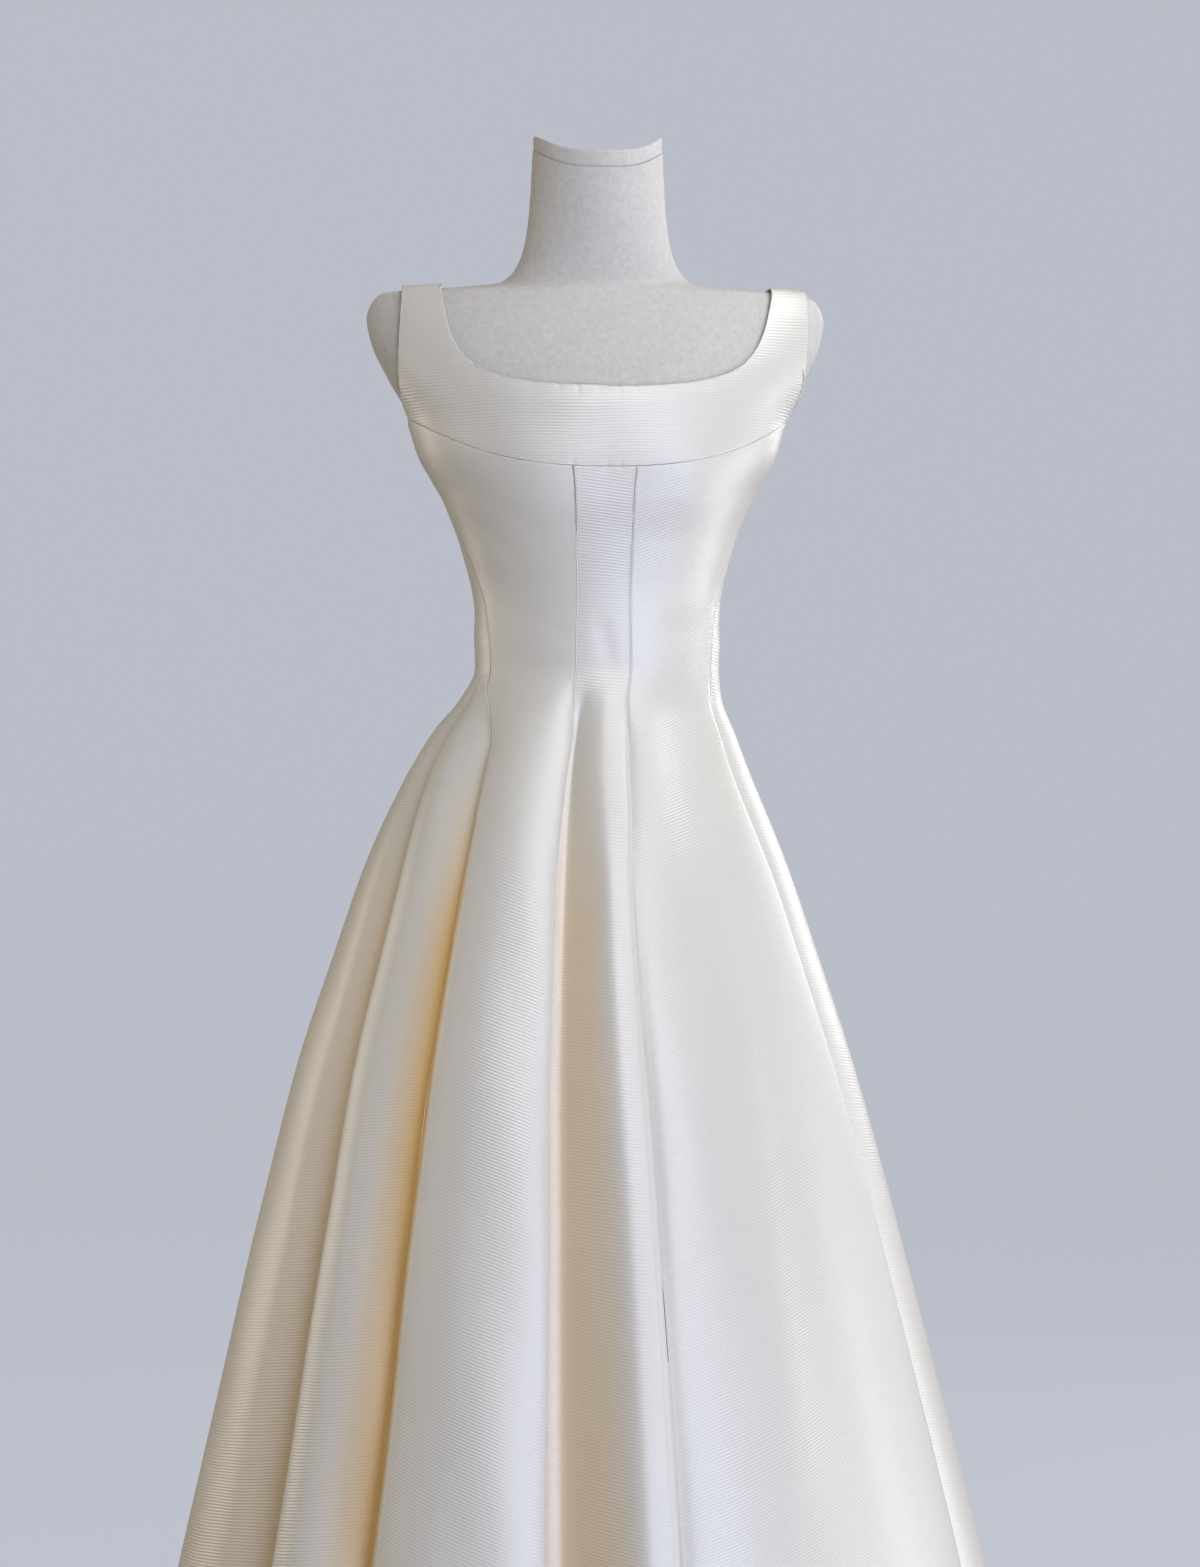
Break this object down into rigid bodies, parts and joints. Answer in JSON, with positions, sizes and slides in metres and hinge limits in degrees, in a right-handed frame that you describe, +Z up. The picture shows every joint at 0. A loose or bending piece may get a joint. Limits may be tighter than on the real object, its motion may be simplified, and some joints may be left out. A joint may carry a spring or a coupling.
{
  "type": "prom dress on dress form",
  "caption": "Floor-length satin dress with a square neck, wide straps and a full folded skirt, on a limbless dress form with a pole and round base.",
  "frame": {"origin": "centre of the round base's underside, on the floor below the pole", "axes": "+Z up along the pole, -Y out of the front of the dress, +X towards the wearer's left"},
  "size_m": [0.864, 0.8556, 1.5928],
  "materials": {
    "satin": "ivory duchess satin",
    "form_cover": "off-white canvas stretched over the form",
    "cap_cover": "off-white canvas",
    "stand_metal": "satin steel"
  },
  "bodies": {
    "root": {"front_yoke": "satin", "centre_front": "satin", "front_left": "satin", "front_right": "satin", "side_left": "satin", "side_right": "satin", "back_left": "satin", "back_right": "satin", "form_body": "form_cover", "neck_cap": "cap_cover", "pole": "stand_metal", "base": "stand_metal"}
  },
  "joints": []
}
